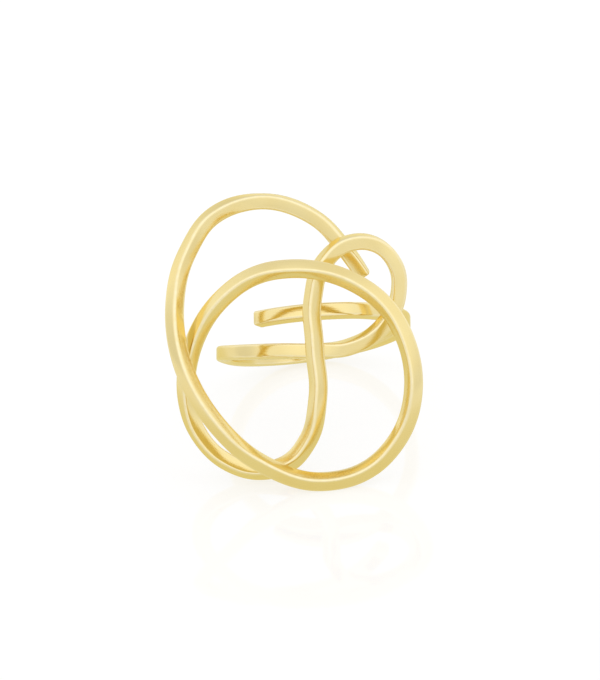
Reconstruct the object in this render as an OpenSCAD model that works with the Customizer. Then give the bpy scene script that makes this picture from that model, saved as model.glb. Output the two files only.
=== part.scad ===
// Band ring bent from one length of square wire: open loops in front, one wrap round the finger.
// Millimetres, +Z up. The ring lies as it rests by itself, leaning back on its wrap,
// with the origin under the middle of its box.

/* [Finger] */
// Inside diameter of the wrap: the front loops keep their gap to it
finger_d = 17.3; // [15.5:0.1:20]

/* [Wire] */
// Side of the square wire
wire_side = 1.5; // [1.2:0.05:1.55]
// Radius of the rounded corners of the wire
corner_r = 0.25; // [0.1:0.05:0.4]
// How much the polishing took off the edges of the two cut ends
end_round = 0.2; // [0.05:0.05:0.3]
// Longest step between two sections along the wire
section_step = 1.1; // [0.8:0.1:2]

/* [Rest] */
// How far the finger axis leans back where the ring rests
lean_back = 36.9; // [0:0.1:60]
// How far the ring rolls to its right where it rests
roll_right = 4.1; // [-10:0.1:10]

/* [Hidden] */

// Places on the wire's middle line in the finger's own frame. The finger points up, and deep
// is negative in front of it. The roll turns the wire's faces about its own middle line.
ACROSS = 0;
DEEP = 1;
UP = 2;
ROLL = 3;

// The cut end behind the small loop and the rise to the arch
// [across, deep, up, roll]
tail = [
    [5.0, -9.6, 5.75, 55],
    [3.5, -10.2, 7.9, 55],
    [0.0, -10.8, 11.5, 71],
    [-5.3, -11.0, 13.1, 70],
];

// The tall arch on the left, down to where it crosses the low return
left_arch = [
    [-9.8, -11.2, 11.8, 26],
    [-12.95, -11.7, 7.25, 3],
    [-13.95, -12.9, 1.85, -5],
    [-12.9, -14.0, -4.45, 5],
    [-10.05, -14.0, -9.5, 15],
];

// The big loop in front of the finger, from its foot up the right side and over
front_loop = [
    [-5.6, -12.4, -13.5, 25],
    [0.8, -11.3, -15.45, 46],
    [5.15, -11.4, -14.4, 31],
    [8.5, -12.3, -11.2, 1],
    [10.0, -13.8, -5.8, -5],
    [9.4, -14.3, -2.1, -8],
    [7.3, -14.7, 1.7, 9],
    [3.15, -14.9, 4.6, 32],
    [-1.85, -14.8, 5.6, 27],
    [-5.8, -14.5, 4.95, 28],
    [-9.55, -13.6, 2.35, 18],
    [-12.1, -12.1, -1.75, 0],
];

// The strand that goes behind the arch's foot and turns back at the bottom
low_return = [
    [-12.8, -10.8, -6.6, 4],
    [-11.75, -9.9, -10.2, 23],
    [-9.0, -9.2, -13.1, 43],
    [-5.65, -8.9, -14.15, 68],
    [-2.3, -9.4, -13.25, 60],
];

// The upright strand in the middle
riser = [
    [-0.55, -10.0, -11.15, 50],
    [0.45, -11.0, -6.8, 32],
    [0.1, -11.6, -1.75, 32],
    [-0.1, -12.0, 2.7, 32],
    [1.0, -12.6, 6.5, 30],
];

// The small loop at the upper right, down to the wrap
small_loop = [
    [3.2, -12.6, 8.4, 20],
    [6.0, -12.0, 8.6, 25],
    [8.3, -11.1, 6.5, 33],
    [8.55, -10.1, 3.45, 32],
    [6.25, -9.3, -0.2, -5],
    [3.4, -9.4, -1.65, -20],
    [0.25, -9.5, -2.0, -5],
];

// The wrap round the finger, from the foot of the small loop to the second cut end
// [turn round the finger from the right, height along the finger, roll]
TURN = 0;
HEIGHT = 1;
WRAP_ROLL = 2;
wrap = [
    [250, -1.95, 0],
    [220, -1.7, 0],
    [180, -1.1, 0],
    [135, -0.8, 0],
    [90, 0.1, 0],
    [45, 1.3, 0],
    [0, 2.2, 0],
    [-45, 2.4, 5],
    [-90, 2.0, 10],
    [-126.5, 1.5, 5],
];

bore_r = finger_d / 2;
// The tables above are drawn for a bore of this radius.
drawn_bore_r = 8.65;
// The wire's inner face runs a little inside the bore, so that the bore cuts it true.
bite = 0.04;
wrap_r = bore_r - bite + wire_side / 2;

function in_front(row) =
    [row[ACROSS], row[DEEP] - (bore_r - drawn_bore_r), row[UP], row[ROLL]];
function on_finger(row) =
    [wrap_r * cos(row[TURN]), wrap_r * sin(row[TURN]), row[HEIGHT], row[WRAP_ROLL]];

front = concat(tail, left_arch, front_loop, low_return, riser, small_loop);
route = concat([for (row = front) in_front(row)], [for (row = wrap) on_finger(row)]);
last_knot = len(route) - 1;

function place(row) = [row[ACROSS], row[DEEP], row[UP]];
function unit(v) = v / norm(v);

// Centre of the circle through three places
function circle_centre(p, q, r) =
    let (a = p - r, b = q - r, n = cross(a, b))
    r + cross((a * a) * b - (b * b) * a, n) / (2 * (n * n));

// Part way along the circle about c from p to q
function along_arc(c, p, q, part) =
    let (u = p - c, v = q - c, angle = acos(min(1, u * v / (norm(u) * norm(v)))))
    c + (sin((1 - part) * angle) * u + sin(part * angle) * v) / sin(angle);

// Between two knots the wire passes from the circle round the first to the circle round the second.
function from_circle(i, part) =
    let (k = max(i, 1))
    along_arc(circle_centre(place(route[k - 1]), place(route[k]), place(route[k + 1])),
              place(route[i]), place(route[i + 1]), part);
function to_circle(i, part) =
    let (k = min(i + 1, last_knot - 1))
    along_arc(circle_centre(place(route[k - 1]), place(route[k]), place(route[k + 1])),
              place(route[i]), place(route[i + 1]), part);
function middle(i, part) =
    let (share = pow(sin(90 * part), 2))
    (1 - share) * from_circle(i, part) + share * to_circle(i, part);

// The roll passes through its knots on a smooth cubic.
function roll_slope(i) =
    (route[min(i + 1, last_knot)][ROLL] - route[max(i - 1, 0)][ROLL]) / 2;
function roll_at(i, part) =
    let (from = route[i][ROLL], to = route[i + 1][ROLL], share = part * part * (3 - 2 * part))
    from + (to - from) * share
        + roll_slope(i) * part * pow(1 - part, 2)
        - roll_slope(i + 1) * part * part * (1 - part);

// Every section: its place on the middle line and its roll
function steps_after(i) =
    ceil(norm(place(route[i + 1]) - place(route[i])) / section_step);
sections = concat(
    [for (i = [0 : last_knot - 1])
        let (steps = steps_after(i))
            for (s = [0 : steps - 1]) [middle(i, s / steps), roll_at(i, s / steps)]],
    [[place(route[last_knot]), route[last_knot][ROLL]]]);
last_section = len(sections) - 1;

function heading(i) =
    unit(sections[min(i + 1, last_section)][0] - sections[max(i - 1, 0)][0]);
// Away from the finger, square to the wire, then turned by the roll
function outward(i) =
    let (p = sections[i][0], t = heading(i), away = unit([p[0], p[1], 0]),
         flat = unit(away - t * (away * t)), roll = sections[i][1])
    flat * cos(roll) + cross(t, flat) * sin(roll);

// Outline of the wire: a square with three points round each corner
CORNER_POINTS = 3;
flat_half = wire_side / 2 - corner_r;
outline = [
    for (corner = [0 : 3], j = [0 : CORNER_POINTS - 1])
        let (middle_angle = 90 * corner + 45, angle = 90 * corner + 90 * j / (CORNER_POINTS - 1))
        [flat_half * sign(cos(middle_angle)) + corner_r * cos(angle),
         flat_half * sign(sin(middle_angle)) + corner_r * sin(angle)]
];

// A ring of points moved on by ahead and drawn in by the share less
function ring_of_points(i, ahead = 0, less = 0) =
    let (t = heading(i), p = sections[i][0] + t * ahead, out = outward(i), side = cross(t, out))
    [for (q = outline) p + (out * q[0] + side * q[1]) * (1 - less)];
end_less = end_round / (wire_side / 2);
wire_points = [
    each ring_of_points(0, ahead = -end_round, less = end_less),
    for (i = [0 : last_section]) each ring_of_points(i),
    each ring_of_points(last_section, ahead = end_round, less = end_less),
];

// The same turn as rest_turn makes, so that the box of the resting ring can be worked out
function leaned(p) =
    [p[0], p[1] * cos(lean_back) + p[2] * sin(lean_back), p[2] * cos(lean_back) - p[1] * sin(lean_back)];
function rolled(p) =
    [p[0] * cos(roll_right) + p[2] * sin(roll_right), p[1], p[2] * cos(roll_right) - p[0] * sin(roll_right)];
resting = [for (p = wire_points) rolled(leaned(p))];
low = [for (axis = [0 : 2]) min([for (p = resting) p[axis]])];
high = [for (axis = [0 : 2]) max([for (p = resting) p[axis]])];

module rest_turn() {
    translate([-(low[0] + high[0]) / 2, -(low[1] + high[1]) / 2, -low[2]])
        rotate([0, roll_right, 0])
            rotate([-lean_back, 0, 0])
                children();
}

module swept_wire() {
    count = len(outline);
    rings = len(wire_points) / count;
    sides = [
        for (i = [0 : rings - 2], j = [0 : count - 1])
            let (a = i * count + j, b = i * count + (j + 1) % count)
                each [[a, b, b + count], [a, b + count, a + count]]
    ];
    first_end = [for (j = [0 : count - 1]) count - 1 - j];
    second_end = [for (j = [0 : count - 1]) (rings - 1) * count + j];
    polyhedron(points = wire_points, faces = concat([first_end, second_end], sides));
}

// The finger's room, longer than the ring is tall
module finger_bore() {
    cylinder(r = bore_r, h = 80, center = true, $fn = 96);
}

module bent_wire() {
    color([0.93, 0.80, 0.45])
        rest_turn()
            difference() {
                swept_wire();
                finger_bore();
            }
}

bent_wire();
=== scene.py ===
import math

import bpy
from mathutils import Matrix, Vector


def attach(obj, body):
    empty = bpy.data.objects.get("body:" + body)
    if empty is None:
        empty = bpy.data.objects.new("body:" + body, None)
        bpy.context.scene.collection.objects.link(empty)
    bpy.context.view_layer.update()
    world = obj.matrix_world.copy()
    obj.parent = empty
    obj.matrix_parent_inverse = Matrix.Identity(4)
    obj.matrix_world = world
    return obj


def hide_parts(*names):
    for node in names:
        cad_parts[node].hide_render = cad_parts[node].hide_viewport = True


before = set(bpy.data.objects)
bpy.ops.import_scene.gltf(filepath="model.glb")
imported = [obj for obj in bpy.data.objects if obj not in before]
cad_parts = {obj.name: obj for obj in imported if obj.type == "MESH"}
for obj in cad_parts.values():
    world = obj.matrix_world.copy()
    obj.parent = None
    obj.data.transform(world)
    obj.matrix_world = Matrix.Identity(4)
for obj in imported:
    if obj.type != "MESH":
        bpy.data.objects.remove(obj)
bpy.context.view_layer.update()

scene = bpy.context.scene
millimetre = 0.001
white = (1.0, 1.0, 1.0, 1.0)
print("frame loaded, with the nodes", sorted(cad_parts))


def addNode(tree, kind, inputs=None, **settings):
    made = tree.nodes.new(kind)
    for key, value in settings.items():
        setattr(made, key, value)
    for socket, value in (inputs or {}).items():
        if isinstance(value, bpy.types.NodeSocket):
            tree.links.new(value, made.inputs[socket])
        else:
            made.inputs[socket].default_value = value
    return made


def addMath(tree, operation, a, b=0.0, clamp=False):
    return addNode(tree, "ShaderNodeMath", {0: a, 1: b}, operation=operation, use_clamp=clamp).outputs[0]


def scaleVector(tree, vector, scale):
    return addNode(tree, "ShaderNodeVectorMath", {0: vector, "Scale": scale}, operation="SCALE").outputs[0]


def mixColor(tree, factor, a, b):
    # The Mix node keeps its two colours at 6 and 7, and their mix at 2
    return addNode(tree, "ShaderNodeMix", {0: factor, 6: a, 7: b}, data_type="RGBA").outputs[2]


def groupSockets(tree, inputs, outputs):
    for direction, sockets in (("INPUT", inputs), ("OUTPUT", outputs)):
        for name, kind in sockets.items():
            tree.interface.new_socket(name, in_out=direction, socket_type="NodeSocket" + kind)


# The ring lies back on its wrap, as it does by itself
restPose = {"leanBack": 36.9, "rollRight": 4.1}      # degrees

# The wire's middle line in the finger's own frame, in millimetres, with the roll of its faces
# (across, deep, up, roll): the finger points up, and deep is negative in front of it
wireRoute = {
    "tail": [
        (5.0, -9.6, 5.75, 55), (3.5, -10.2, 7.9, 55), (0.0, -10.8, 11.5, 71), (-5.3, -11.0, 13.1, 70)],
    "leftArch": [
        (-9.8, -11.2, 11.8, 26), (-12.95, -11.7, 7.25, 3), (-13.95, -12.9, 1.85, -5),
        (-12.9, -14.0, -4.45, 5), (-10.05, -14.0, -9.5, 15)],
    "frontLoop": [
        (-5.6, -12.4, -13.5, 25), (0.8, -11.3, -15.45, 46), (5.15, -11.4, -14.4, 31),
        (8.5, -12.3, -11.2, 1), (10.0, -13.8, -5.8, -5), (9.4, -14.3, -2.1, -8),
        (7.3, -14.7, 1.7, 9), (3.15, -14.9, 4.6, 32), (-1.85, -14.8, 5.6, 27),
        (-5.8, -14.5, 4.95, 28), (-9.55, -13.6, 2.35, 18), (-12.1, -12.1, -1.75, 0)],
    "lowReturn": [
        (-12.8, -10.8, -6.6, 4), (-11.75, -9.9, -10.2, 23), (-9.0, -9.2, -13.1, 43),
        (-5.65, -8.9, -14.15, 68), (-2.3, -9.4, -13.25, 60)],
    "riser": [
        (-0.55, -10.0, -11.15, 50), (0.45, -11.0, -6.8, 32), (0.1, -11.6, -1.75, 32),
        (-0.1, -12.0, 2.7, 32), (1.0, -12.6, 6.5, 30)],
    "smallLoop": [
        (3.2, -12.6, 8.4, 20), (6.0, -12.0, 8.6, 25), (8.3, -11.1, 6.5, 33),
        (8.55, -10.1, 3.45, 32), (6.25, -9.3, -0.2, -5), (3.4, -9.4, -1.65, -20), (0.25, -9.5, -2.0, -5)],
}
# (turn round the finger from the right in degrees, height along the finger, roll)
wrapRoute = [
    (250, -1.95, 0), (220, -1.7, 0), (180, -1.1, 0), (135, -0.8, 0), (90, 0.1, 0),
    (45, 1.3, 0), (0, 2.2, 0), (-45, 2.4, 5), (-90, 2.0, 10), (-126.5, 1.5, 5)]

wire = {
    "side": 1.5,             # millimetres, as the rest
    "cornerRadius": 0.25,
    "cornerSegments": 7,
    "flatParts": 4,          # strips across each flat face
    "endRounding": 0.2,
    "endSteps": 4,
    "boreRadius": 8.65,
    "bite": 0.04,            # the wire starts this far inside the bore, which then trues it
    "step": 0.24,            # between two sections along the wire
}


def circleCentre(p, q, r):
    a, b = p - r, q - r
    n = a.cross(b)
    return r + (b * a.length_squared - a * b.length_squared).cross(n) / (2 * n.length_squared)


def alongArc(centre, p, q, part):
    u, v = p - centre, q - centre
    angle = u.angle(v)
    return centre + (u * math.sin((1 - part) * angle) + v * math.sin(part * angle)) / math.sin(angle)


def layRoute():
    # The line blends the arcs through each three knots, and the roll eases from knot to knot
    knots = [Vector(row[:3]) for rows in wireRoute.values() for row in rows]
    rolls = [row[3] for rows in wireRoute.values() for row in rows]
    wrapRadius = wire["boreRadius"] - wire["bite"] + wire["side"] / 2
    for turn, height, roll in wrapRoute:
        angle = math.radians(turn)
        knots.append(Vector((wrapRadius * math.cos(angle), wrapRadius * math.sin(angle), height)))
        rolls.append(roll)
    last = len(knots) - 1
    circles = [circleCentre(*knots[k - 1:k + 2]) for k in range(1, last)]
    slopes = [(rolls[min(k + 1, last)] - rolls[max(k - 1, 0)]) / 2 for k in range(last + 1)]
    places, faceRolls = [], []
    for i in range(last):
        p, q = knots[i], knots[i + 1]
        steps = math.ceil((q - p).length / wire["step"])
        for s in range(steps):
            part = s / steps
            share = math.sin(math.pi / 2 * part) ** 2
            first = alongArc(circles[max(i, 1) - 1], p, q, part)
            second = alongArc(circles[min(i + 1, last - 1) - 1], p, q, part)
            places.append(first.lerp(second, share))
            ease = part * part * (3 - 2 * part)
            faceRolls.append(rolls[i] + (rolls[i + 1] - rolls[i]) * ease
                             + slopes[i] * part * (1 - part) ** 2 - slopes[i + 1] * part * part * (1 - part))
    return places + [knots[last]], faceRolls + [rolls[last]]


def wireLine():
    # One vertex for each section, with the way its outer face looks and the share of the full size
    places, faceRolls = layRoute()
    last = len(places) - 1
    headings = [(places[min(i + 1, last)] - places[max(i - 1, 0)]).normalized() for i in range(last + 1)]
    outwards = []
    for p, t, roll in zip(places, headings, faceRolls):
        away = Vector((p.x, p.y, 0)).normalized()
        flat = (away - t * away.dot(t)).normalized()
        angle = math.radians(roll)
        outwards.append(flat * math.cos(angle) + t.cross(flat) * math.sin(angle))
    rounding = []
    for k in range(1, wire["endSteps"] + 1):
        angle = math.pi / 2 * k / wire["endSteps"]
        drawnIn = wire["endRounding"] * (1 - math.cos(angle))
        rounding.append((wire["endRounding"] * math.sin(angle), 1 - drawnIn / (wire["side"] / 2)))
    points = ([(places[0] - headings[0] * ahead, outwards[0], size) for ahead, size in reversed(rounding)]
              + [(p, out, 1.0) for p, out in zip(places, outwards)]
              + [(places[last] + headings[last] * ahead, outwards[last], size) for ahead, size in rounding])
    along = [0.0]
    for before, after in zip(points, points[1:]):
        along.append(along[-1] + (after[0] - before[0]).length)
    links = [(i, i + 1) for i in range(len(points) - 1)]
    mesh = bpy.data.meshes.new("wireLine")
    mesh.from_pydata([p * millimetre for p, out, size in points], links, [])
    outward = mesh.attributes.new("outward", "FLOAT_VECTOR", "POINT")
    outward.data.foreach_set("vector", [c for p, out, size in points for c in out])
    for name, values in (("sectionSize", [size for p, out, size in points]), ("along", along)):
        mesh.attributes.new(name, "FLOAT", "POINT").data.foreach_set("value", values)
    print("wire line laid:", len(points), "sections,", round(along[-1], 1), "mm")
    return mesh


def sweepTree():
    # Sweeps a rounded square along the line, trues the wrap to the bore and gives the ends their own finish
    tree = bpy.data.node_groups.new("squareWire", "GeometryNodeTree")
    groupSockets(tree, {
        "Line": "Geometry", "Wire Side": "Float", "Corner Radius": "Float", "Corner Segments": "Int",
        "Flat Parts": "Int", "Bore Radius": "Float", "Wire Finish": "Material", "End Finish": "Material",
    }, {"Wire": "Geometry"})
    given = addNode(tree, "NodeGroupInput").outputs

    def named(name, kind="FLOAT"):
        node = addNode(tree, "GeometryNodeInputNamedAttribute", {"Name": name}, data_type=kind)
        return node.outputs["Attribute"]

    # Rounded square, its flats cut into parts first so that only the corners are filleted
    square = addNode(tree, "GeometryNodeCurvePrimitiveQuadrilateral",
                     {"Width": given["Wire Side"], "Height": given["Wire Side"]}, mode="RECTANGLE")
    cuts = addMath(tree, "SUBTRACT", given["Flat Parts"], 1.0)
    parted = addNode(tree, "GeometryNodeSubdivideCurve", {"Curve": square.outputs[0], "Cuts": cuts})
    index = addNode(tree, "GeometryNodeInputIndex").outputs[0]
    pastCorner = addMath(tree, "MODULO", index, given["Flat Parts"])
    isCorner = addMath(tree, "LESS_THAN", pastCorner, 0.5)       # the first point of each side
    radius = addMath(tree, "MULTIPLY", isCorner, given["Corner Radius"])
    filleted = addNode(tree, "GeometryNodeFilletCurve", {
        "Curve": parted.outputs[0], "Count": given["Corner Segments"], "Radius": radius,
        "Limit Radius": True}, mode="POLY")
    position = addNode(tree, "GeometryNodeInputPosition").outputs[0]
    inMillimetres = scaleVector(tree, position, 1 / millimetre)
    profile = addNode(tree, "GeometryNodeStoreNamedAttribute", {
        "Geometry": filleted.outputs[0], "Name": "across", "Value": inMillimetres},
        data_type="FLOAT_VECTOR", domain="POINT")

    rail = addNode(tree, "GeometryNodeMeshToCurve", {"Mesh": given["Line"]})
    turned = addNode(tree, "GeometryNodeSetCurveNormal",
                     {"Curve": rail.outputs[0], "Normal": named("outward", "FLOAT_VECTOR")}, mode="FREE")
    swept = addNode(tree, "GeometryNodeCurveToMesh", {
        "Curve": turned.outputs[0], "Profile Curve": profile.outputs[0],
        "Scale": named("sectionSize"), "Fill Caps": True})

    # Where the wire reaches into the bore, it is pushed out to the bore's radius
    split = addNode(tree, "ShaderNodeSeparateXYZ", {0: position}).outputs
    flatPlace = addNode(tree, "ShaderNodeCombineXYZ", {0: split[0], 1: split[1]}).outputs[0]
    reach = addNode(tree, "ShaderNodeVectorMath", {0: flatPlace}, operation="LENGTH").outputs["Value"]
    missing = addMath(tree, "MAXIMUM", addMath(tree, "SUBTRACT", given["Bore Radius"], reach), 0.0)
    push = scaleVector(tree, flatPlace, addMath(tree, "DIVIDE", missing, reach))
    trued = addNode(tree, "GeometryNodeSetPosition", {"Geometry": swept.outputs[0], "Offset": push})

    # Places on the straightened wire for the finishes: along it, then across it
    acrossXY = addNode(tree, "ShaderNodeSeparateXYZ", {0: named("across", "FLOAT_VECTOR")}).outputs
    straightened = addNode(tree, "ShaderNodeCombineXYZ", {0: named("along"), 1: acrossXY[0], 2: acrossXY[1]})
    placed = addNode(tree, "GeometryNodeStoreNamedAttribute", {
        "Geometry": trued.outputs[0], "Name": "wirePlace", "Value": straightened.outputs[0]},
        data_type="FLOAT_VECTOR", domain="POINT")
    smooth = addNode(tree, "GeometryNodeSetShadeSmooth", {"Geometry": placed.outputs[0]})
    realized = addNode(tree, "GeometryNodeRealizeInstances", {"Geometry": smooth.outputs[0]})
    wireFinish = addNode(tree, "GeometryNodeSetMaterial",
                         {"Geometry": realized.outputs[0], "Material": given["Wire Finish"]})
    # Every face along the wire has four corners, and the two caps have more
    alongCorners = 4
    faceCorners = addNode(tree, "GeometryNodeInputMeshFaceNeighbors").outputs["Vertex Count"]
    isEnd = addMath(tree, "GREATER_THAN", faceCorners, alongCorners + 0.5)
    endFinish = addNode(tree, "GeometryNodeSetMaterial", {
        "Geometry": wireFinish.outputs[0], "Selection": isEnd, "Material": given["End Finish"]})
    addNode(tree, "NodeGroupOutput", {"Wire": endFinish.outputs[0]})
    return tree


# What polishing leaves on the plated metal, with a painted highlight along the corners, laid out along the
# straightened wire in millimetres
polish = {
    "goldColor": (0.880, 0.738, 0.365, 1.0),
    "warmColor": (0.873, 0.710, 0.320, 1.0),
    # The rubbed colour and its range paint the corners paler: partly rubbed wear, partly a painted highlight
    # along the corner ridges
    "rubbedAndHighlightColor": (0.940, 0.840, 0.565, 1.0),
    "edgeTint": (1.0, 0.94, 0.68, 1.0),      # keeps the gold warm where it is seen edge on
    "tone": {"Scale": 0.22, "Detail": 3.0},                       # slow tone of the plating
    "toneRange": (0.35, 0.7),                                     # where it goes from gold to warm
    "haze": {"Scale": 1.4, "Detail": 4.0, "Roughness": 0.6},      # where the buff passed less often
    "hazeShare": 0.05,                                            # of the haze in the roughness
    "waves": {"Scale": 0.32, "Detail": 1.0, "Roughness": 0.3},    # from filing and polishing by hand
    "lines": {"Scale": 9.0, "Detail": 5.0, "Roughness": 0.65},    # from buffing
    "lineStretch": (0.06, 1.0, 1.0),                              # long along the wire, thin across it
    "lineRelief": 0.6,                                            # their height, where the waves have 1
    "rubAndHighlightRange": (0.55, 0.85),                                  # shares of the half side
    "cornerEase": 3.8,                                            # of the crown's fall, over the corners
    "bumpDistance": 0.02 * millimetre,
}

# What each finish gives to the shared group, with the strength of its relief. The crown is how far
# the flat faces swell, for the light alone
# The corner rubbing paints the corners paler, partly as wear and partly as a painted highlight along the
# ridges
finishes = {
    "polishedGold": {"Roughness": 0.12, "Crown": 7.0, "Corner Rub And Highlight": 1.3, "Buffing": 0.03, "relief": 0.5},
    "trimmedEndGold": {"Roughness": 0.22, "Crown": 0.0, "Corner Rub And Highlight": 0.0, "Buffing": 0.08, "relief": 0.8},
}


def polishGroup():
    group = bpy.data.node_groups.new("metalPolish", "ShaderNodeTree")
    groupSockets(group, {"Roughness": "Float", "Crown": "Float", "Corner Rub And Highlight": "Float", "Buffing": "Float"},
                 {"Color": "Color", "Roughness": "Float", "Height": "Float"})
    given = addNode(group, "NodeGroupInput").outputs
    place = addNode(group, "ShaderNodeAttribute", attribute_name="wirePlace").outputs["Vector"]

    def noise(name, vector=place):
        return addNode(group, "ShaderNodeTexNoise", {"Vector": vector, **polish[name]}).outputs[0]

    def swing(value, share):
        middle = 0.5     # of the noise
        return addMath(group, "MULTIPLY", addMath(group, "SUBTRACT", value, middle), share)

    def rise(value, limits):
        return addNode(group, "ShaderNodeMapRange", {
            "Value": value, "From Min": limits[0], "From Max": limits[1]}).outputs[0]

    haze = noise("haze")
    drawn = addNode(group, "ShaderNodeMapping", {"Vector": place, "Scale": polish["lineStretch"]})
    lines = noise("lines", drawn.outputs[0])

    # The corners are painted paler, partly as rubbed wear and partly as a painted highlight along the
    # ridges: both ways across the wire are then near the full half side
    halfSide = wire["side"] / 2
    across = addNode(group, "ShaderNodeSeparateXYZ", {0: place}).outputs
    least = addMath(group, "MINIMUM", *[addMath(group, "ABSOLUTE", across[axis]) for axis in (1, 2)])
    corner = rise(addMath(group, "DIVIDE", least, halfSide), polish["rubAndHighlightRange"])
    unevenCorner = addMath(group, "MULTIPLY", corner, haze)
    rubAndHighlight = addMath(group, "MULTIPLY", unevenCorner, given["Corner Rub And Highlight"], clamp=True)
    toned = rise(noise("tone"), polish["toneRange"])
    base = mixColor(group, toned, polish["goldColor"], polish["warmColor"])
    color = mixColor(group, rubAndHighlight, base, polish["rubbedAndHighlightColor"])

    uneven = addMath(group, "ADD", swing(haze, polish["hazeShare"]), swing(lines, given["Buffing"]))
    roughness = addMath(group, "ADD", given["Roughness"], uneven, clamp=True)

    # Rolled faces are crowned a little: the fall grows towards the corners, and eases off over them
    pastFlat = addMath(group, "SUBTRACT", least, halfSide - wire["cornerRadius"])
    overCorner = addMath(group, "MAXIMUM", pastFlat, 0.0)
    squared = addMath(group, "MULTIPLY", overCorner, overCorner)
    eased = addMath(group, "MULTIPLY", squared, polish["cornerEase"])
    crowned = addMath(group, "SUBTRACT", addMath(group, "MULTIPLY", least, least), eased)
    fall = addMath(group, "MULTIPLY", crowned, given["Crown"])
    relief = addMath(group, "ADD", noise("waves"), addMath(group, "MULTIPLY", lines, polish["lineRelief"]))
    height = addMath(group, "SUBTRACT", relief, fall)
    addNode(group, "NodeGroupOutput", {"Color": color, "Roughness": roughness, "Height": height})
    return group


def metalFinish(name, group):
    finish = bpy.data.materials.new(name)
    finish.use_nodes = True
    tree = finish.node_tree
    tree.nodes.clear()
    values = {socket: value for socket, value in finishes[name].items() if socket != "relief"}
    polished = addNode(tree, "ShaderNodeGroup", values, node_tree=group)
    bump = addNode(tree, "ShaderNodeBump", {
        "Strength": finishes[name]["relief"], "Distance": polish["bumpDistance"],
        "Height": polished.outputs["Height"]})
    metal = addNode(tree, "ShaderNodeBsdfPrincipled", {
        "Base Color": polished.outputs["Color"], "Metallic": 1.0, "Specular Tint": polish["edgeTint"],
        "Roughness": polished.outputs["Roughness"], "Normal": bump.outputs[0]})
    addNode(tree, "ShaderNodeOutputMaterial", {"Surface": metal.outputs[0]})
    return finish


metalPolish = polishGroup()
polishedGold = metalFinish("polishedGold", metalPolish)
trimmedEndGold = metalFinish("trimmedEndGold", metalPolish)
print("finishes made")


def bendWire():
    rough = bpy.data.objects.new("wireLine", wireLine())
    scene.collection.objects.link(rough)
    sweep = rough.modifiers.new("squareWire", "NODES")
    sweep.node_group = sweepTree()
    values = {
        "Wire Side": wire["side"] * millimetre, "Corner Radius": wire["cornerRadius"] * millimetre,
        "Corner Segments": wire["cornerSegments"], "Flat Parts": wire["flatParts"],
        "Bore Radius": wire["boreRadius"] * millimetre,
        "Wire Finish": polishedGold, "End Finish": trimmedEndGold}
    for socket in sweep.node_group.interface.items_tree:
        if socket.in_out == "INPUT" and socket.name in values:
            sweep[socket.identifier] = values[socket.name]
    rough.modifiers.new("flatFaces", "WEIGHTED_NORMAL").keep_sharp = True
    evaluated = rough.evaluated_get(bpy.context.evaluated_depsgraph_get())
    mesh = bpy.data.meshes.new_from_object(evaluated)
    mesh.name = "bentWire"
    bpy.data.objects.remove(rough)
    return mesh


def setDown(mesh):
    # Lowest point on the table and middle over the origin, and the shift that this takes
    low, high = [[edge(v.co[axis] for v in mesh.vertices) for axis in range(3)] for edge in (min, max)]
    shift = Vector((-(low[0] + high[0]) / 2, -(low[1] + high[1]) / 2, -low[2]))
    mesh.transform(Matrix.Translation(shift))
    return shift


bentMesh = bendWire()
restTurn = (Matrix.Rotation(math.radians(restPose["rollRight"]), 3, "Y")
            @ Matrix.Rotation(-math.radians(restPose["leanBack"]), 3, "X"))
bentMesh.transform(restTurn.to_4x4())
restShift = setDown(bentMesh)
bentWire = bpy.data.objects.new("goldWire", bentMesh)
scene.collection.objects.link(bentWire)
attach(bentWire, "root")
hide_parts("bent_wire")
print("wire swept:", len(bentMesh.polygons), "faces, shifted by",
      [round(c / millimetre, 3) for c in restShift], "mm")


# Glossy white acrylic on a light table. Its gloss shows to the camera. The ring gets a plain soft glow
# from it instead, dimmer and golden near the ring, where the ring's shade and its own light fall
table = {
    "size": 3.0,             # metres, as the two distances
    "color": (0.25, 0.25, 0.25, 1.0),
    "glow": (0.71, 0.71, 0.71, 1.0),
    "roughness": 0.05,
    "specular": 0.7,
    "near": 0.012,           # from the ring's middle
    "far": 0.060,
    "nearGlow": 0.82,
    "farGlow": 0.95,
    "nearTint": (1.0, 0.95, 0.66, 1.0),
}


def glossFinish():
    finish = bpy.data.materials.new("whiteGloss")
    finish.use_nodes = True
    tree = finish.node_tree
    tree.nodes.clear()
    gloss = addNode(tree, "ShaderNodeBsdfPrincipled", {
        "Base Color": table["color"], "Roughness": table["roughness"],
        "Specular IOR Level": table["specular"], "Emission Color": table["glow"], "Emission Strength": 1.0})

    place = addNode(tree, "ShaderNodeTexCoord").outputs["Object"]
    away = addNode(tree, "ShaderNodeVectorMath", {0: place}, operation="LENGTH").outputs["Value"]
    reach = {"Value": away, "From Min": table["near"], "From Max": table["far"]}
    strength = addNode(tree, "ShaderNodeMapRange", {
        **reach, "To Min": table["nearGlow"], "To Max": table["farGlow"]}).outputs[0]
    share = addNode(tree, "ShaderNodeMapRange", reach).outputs[0]
    tint = mixColor(tree, share, table["nearTint"], white)
    plain = addNode(tree, "ShaderNodeEmission", {"Color": tint, "Strength": strength})

    seen = addNode(tree, "ShaderNodeLightPath").outputs["Is Camera Ray"]
    both = addNode(tree, "ShaderNodeMixShader", {0: seen, 1: plain.outputs[0], 2: gloss.outputs[0]})
    addNode(tree, "ShaderNodeOutputMaterial", {"Surface": both.outputs[0]})
    return finish


def layTable():
    half = table["size"] / 2
    rim = [(-half, -half, 0), (half, -half, 0), (half, half, 0), (-half, half, 0)]
    mesh = bpy.data.meshes.new("whiteTable")
    mesh.from_pydata(rim, [], [(0, 1, 2, 3)])
    mesh.materials.append(glossFinish())
    made = bpy.data.objects.new("whiteTable", mesh)
    scene.collection.objects.link(made)


layTable()

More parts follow.
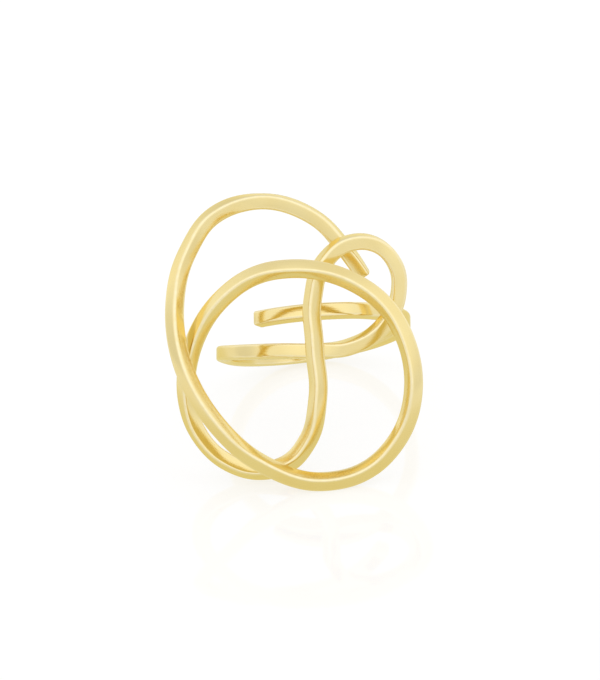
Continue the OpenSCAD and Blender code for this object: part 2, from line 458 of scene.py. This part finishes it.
# A white tent that leans back with the ring: the height along the finger sets its brightness
studio = {
    "walls": [       # height along the finger, from -1 to 1, and brightness
        (-0.60, 0.86), (-0.20, 0.96), (0.15, 1.04), (0.50, 1.08), (0.80, 0.99), (1.00, 0.82)],
    "panels": [      # direction, cosine at which its soft edge ends, brightness added or taken
        ((-0.99, 0.08, 0.15), 0.90, -0.18),
        ((0.97, -0.21, 0.09), 0.88, -0.10),
        ((-0.35, 0.90, 0.25), 0.82, -0.12),
        ((0.10, -0.60, 0.80), 0.60, 0.12),
        ((0.45, -0.88, 0.05), 0.84, 0.05),
        ((0.53, 0.42, 0.74), 0.80, 0.06)],
    "rampShare": 0.5,        # a ramp's colours end at 1, so it holds this share of the brightness
}


def lightStudio():
    world = bpy.data.worlds.new("whiteTent")
    world.use_nodes = True
    scene.world = world
    tree = world.node_tree
    tree.nodes.clear()
    direction = addNode(tree, "ShaderNodeTexCoord").outputs["Generated"]

    def cosineTo(axis):
        return addNode(tree, "ShaderNodeVectorMath", {0: direction, 1: axis},
                       operation="DOT_PRODUCT").outputs["Value"]

    height = addNode(tree, "ShaderNodeMapRange", {
        "Value": cosineTo(restTurn @ Vector((0, 0, 1))), "From Min": -1.0})
    walls = addNode(tree, "ShaderNodeValToRGB", {0: height.outputs[0]})
    walls.color_ramp.interpolation = "B_SPLINE"
    stops = walls.color_ramp.elements
    while len(stops) < len(studio["walls"]):
        stops.new(0.5)       # put in its place below
    for stop, (place, brightness) in zip(stops, studio["walls"]):
        stop.position = (place + 1) / 2
        stop.color = (*[brightness * studio["rampShare"]] * 3, 1.0)
    light = addMath(tree, "MULTIPLY", walls.outputs[0], 1 / studio["rampShare"])
    for toPanel, edge, gain in studio["panels"]:
        glow = addNode(tree, "ShaderNodeMapRange", {
            "Value": cosineTo(Vector(toPanel).normalized()), "From Min": edge, "To Max": gain},
            interpolation_type="SMOOTHSTEP").outputs[0]
        light = addMath(tree, "ADD", light, glow)
    tent = addNode(tree, "ShaderNodeBackground", {"Color": white, "Strength": light})
    addNode(tree, "ShaderNodeOutputWorld", {"Surface": tent.outputs[0]})


lightStudio()
print("table laid and studio lit")

# The camera keeps the photograph's angle to the ring, in the finger's own frame
camera = {
    "looksUp": 7.5,          # degrees from the plane square to the finger
    "distance": 0.350,       # metres
    "focalPixels": 3360,
    "axisPixel": (313.5, 343.5),     # where the middle of the finger hole stands in the picture
    "picture": (600, 680),
    "sensor": 36,            # millimetres
    "clip": (0.01, 10),
}


def placeCamera():
    angle = math.radians(camera["looksUp"])
    width, height = camera["picture"]
    longSide = max(width, height)
    right = restTurn @ Vector((1, 0, 0))
    up = restTurn @ Vector((0, -math.sin(angle), math.cos(angle)))
    back = right.cross(up)
    data = bpy.data.cameras.new("photoCamera")
    data.sensor_width = camera["sensor"]
    data.lens = camera["focalPixels"] / longSide * camera["sensor"]
    data.shift_x = (width / 2 - camera["axisPixel"][0]) / longSide
    data.shift_y = (camera["axisPixel"][1] - height / 2) / longSide
    data.clip_start, data.clip_end = camera["clip"]
    made = bpy.data.objects.new("photoCamera", data)
    made.matrix_world = (Matrix.Translation(restShift + back * camera["distance"])
                         @ Matrix((right, up, back)).transposed().to_4x4())
    scene.collection.objects.link(made)
    scene.camera = made


placeCamera()
scene.view_settings.view_transform = "Standard"
print("camera placed")
